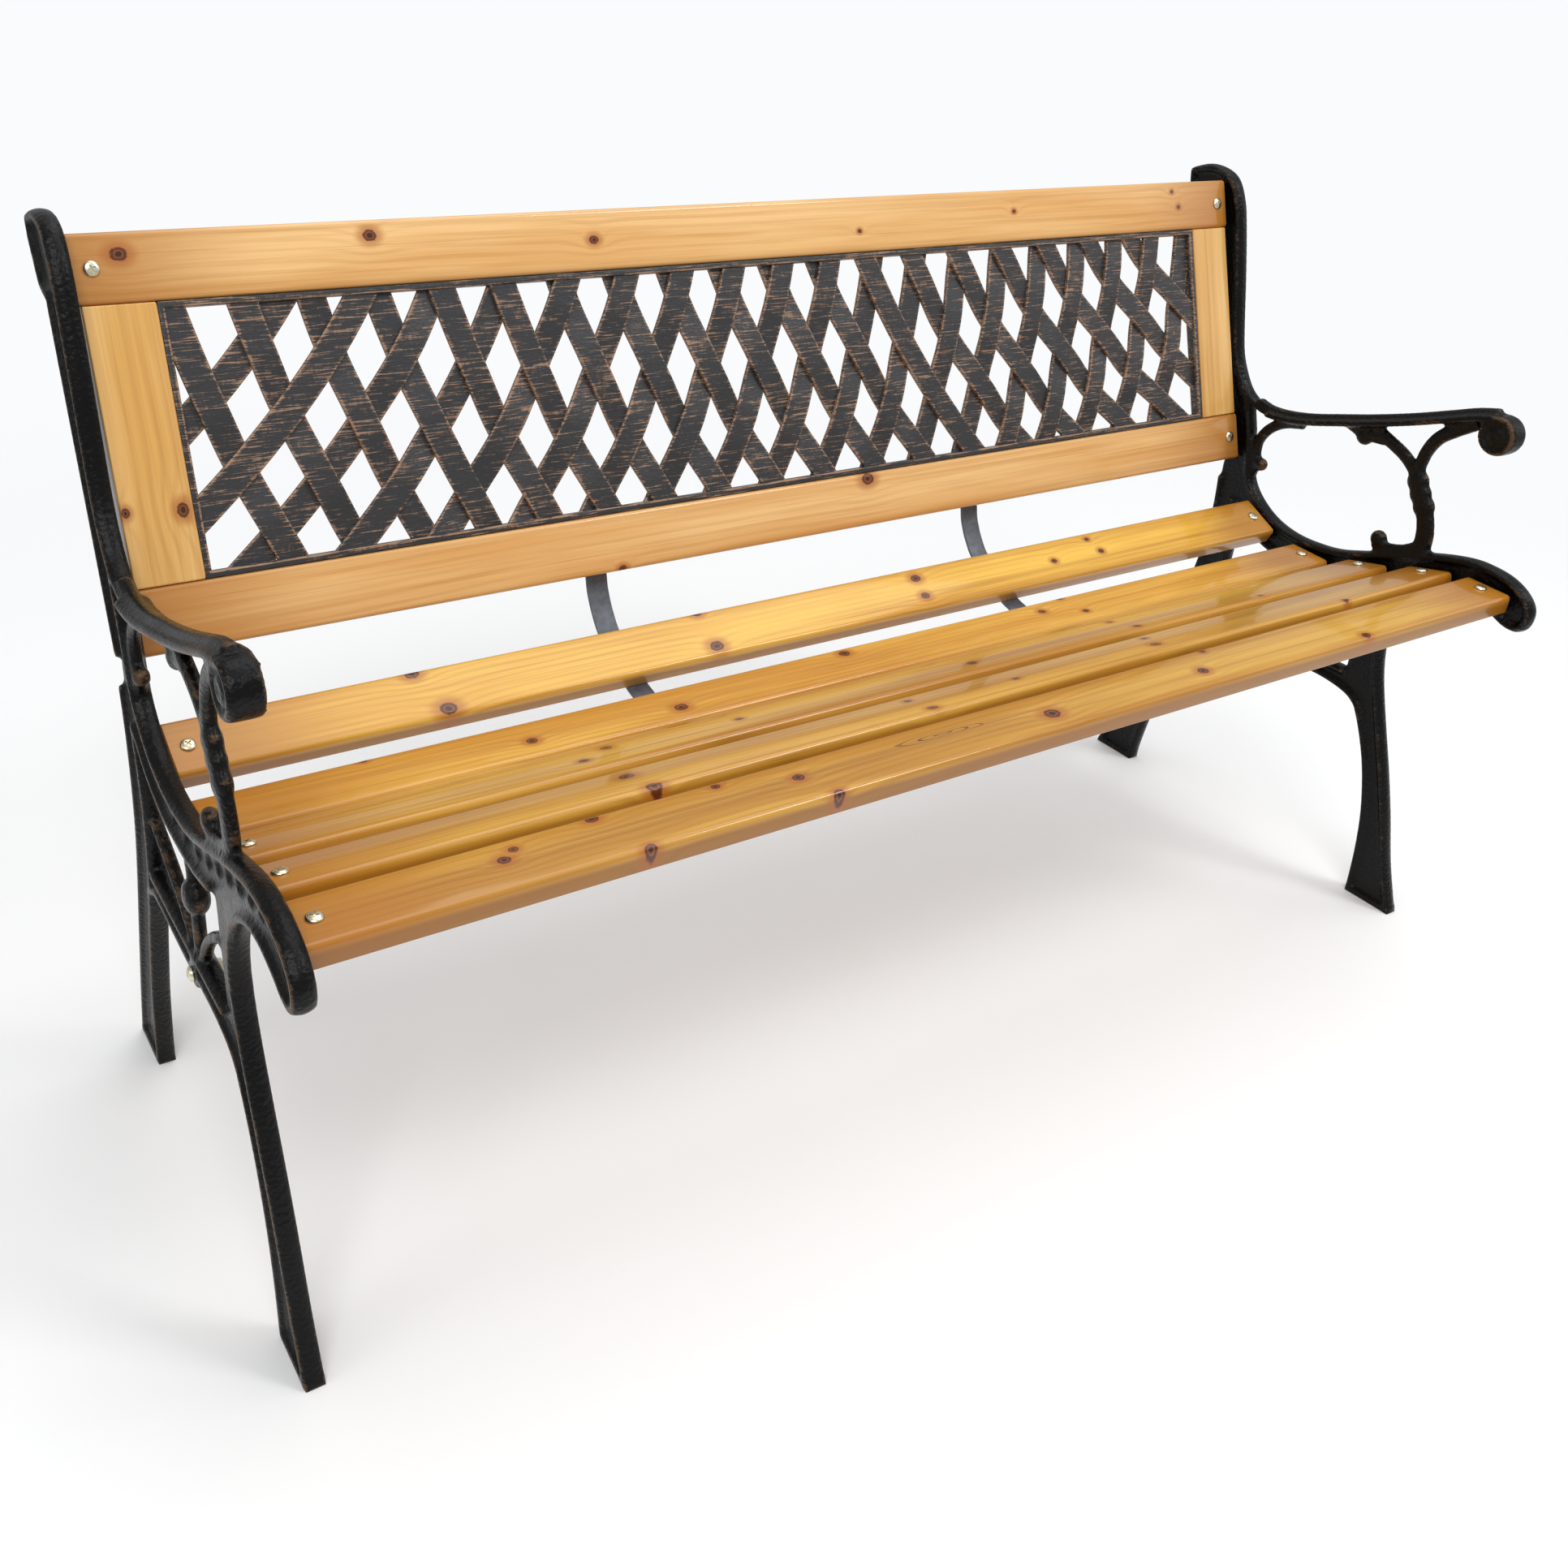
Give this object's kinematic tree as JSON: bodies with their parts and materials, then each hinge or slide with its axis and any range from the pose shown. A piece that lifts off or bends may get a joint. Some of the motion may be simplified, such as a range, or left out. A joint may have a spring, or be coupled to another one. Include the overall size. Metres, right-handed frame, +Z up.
{
  "type": "garden bench",
  "caption": "Slatted garden bench with two cast-iron end frames, wooden seat slats and back rails, and a cast woven lattice panel in the back.",
  "frame": {"origin": "on the floor under the middle of the bounding box", "axes": "+X along the bench to a sitter's left hand, +Y to the back, +Z up; the sitter faces -Y"},
  "size_m": [1.228, 0.516, 0.729],
  "materials": {
    "iron": "glossy black paint over a cast texture, rubbed bronze on the ridges",
    "lattice_iron": "black with copper dry-brushing along the edges",
    "pine": "honey-coloured semi-gloss varnish, long grain with knots",
    "zinc": "yellowish zinc plating",
    "strap_steel": "dark blue-grey steel"
  },
  "bodies": {
    "root": {"end_frame_right": "iron", "seat_strap_right": "strap_steel", "stretcher_bolt_right": "zinc", "stretcher_nut_right": "zinc", "end_frame_left": "iron", "seat_strap_left": "strap_steel", "stretcher_bolt_left": "zinc", "stretcher_nut_left": "zinc", "top_back_rail": "pine", "low_back_rail": "pine", "lattice_panel": "lattice_iron", "back_stile_right": "pine", "back_stile_left": "pine", "seat_slat_a_rear": "pine", "seat_slat_b": "pine", "seat_slat_c": "pine", "seat_slat_d": "pine", "seat_slat_e_front": "pine", "bolt_top_rail_right": "zinc", "nut_top_rail_right": "zinc", "bolt_top_rail_left": "zinc", "nut_top_rail_left": "zinc", "bolt_low_rail_right": "zinc", "nut_low_rail_right": "zinc", "bolt_low_rail_left": "zinc", "nut_low_rail_left": "zinc", "bolt_seat_slat_a_rear_right": "zinc", "nut_seat_slat_a_rear_right": "zinc", "bolt_seat_slat_a_rear_left": "zinc", "nut_seat_slat_a_rear_left": "zinc", "bolt_seat_slat_b_right": "zinc", "nut_seat_slat_b_right": "zinc", "bolt_seat_slat_b_left": "zinc", "nut_seat_slat_b_left": "zinc", "bolt_seat_slat_c_right": "zinc", "nut_seat_slat_c_right": "zinc", "bolt_seat_slat_c_left": "zinc", "nut_seat_slat_c_left": "zinc", "bolt_seat_slat_d_right": "zinc", "nut_seat_slat_d_right": "zinc", "bolt_seat_slat_d_left": "zinc", "nut_seat_slat_d_left": "zinc", "bolt_seat_slat_e_front_right": "zinc", "nut_seat_slat_e_front_right": "zinc", "bolt_seat_slat_e_front_left": "zinc", "nut_seat_slat_e_front_left": "zinc", "strap_screw_low_rail_right": "zinc", "strap_screw_low_rail_left": "zinc", "strap_screw_seat_slat_a_rear_right": "zinc", "strap_screw_seat_slat_a_rear_left": "zinc", "strap_screw_seat_slat_b_right": "zinc", "strap_screw_seat_slat_b_left": "zinc", "strap_screw_seat_slat_c_right": "zinc", "strap_screw_seat_slat_c_left": "zinc", "strap_screw_seat_slat_d_right": "zinc", "strap_screw_seat_slat_d_left": "zinc", "strap_screw_seat_slat_e_front_right": "zinc", "strap_screw_seat_slat_e_front_left": "zinc"}
  },
  "joints": []
}
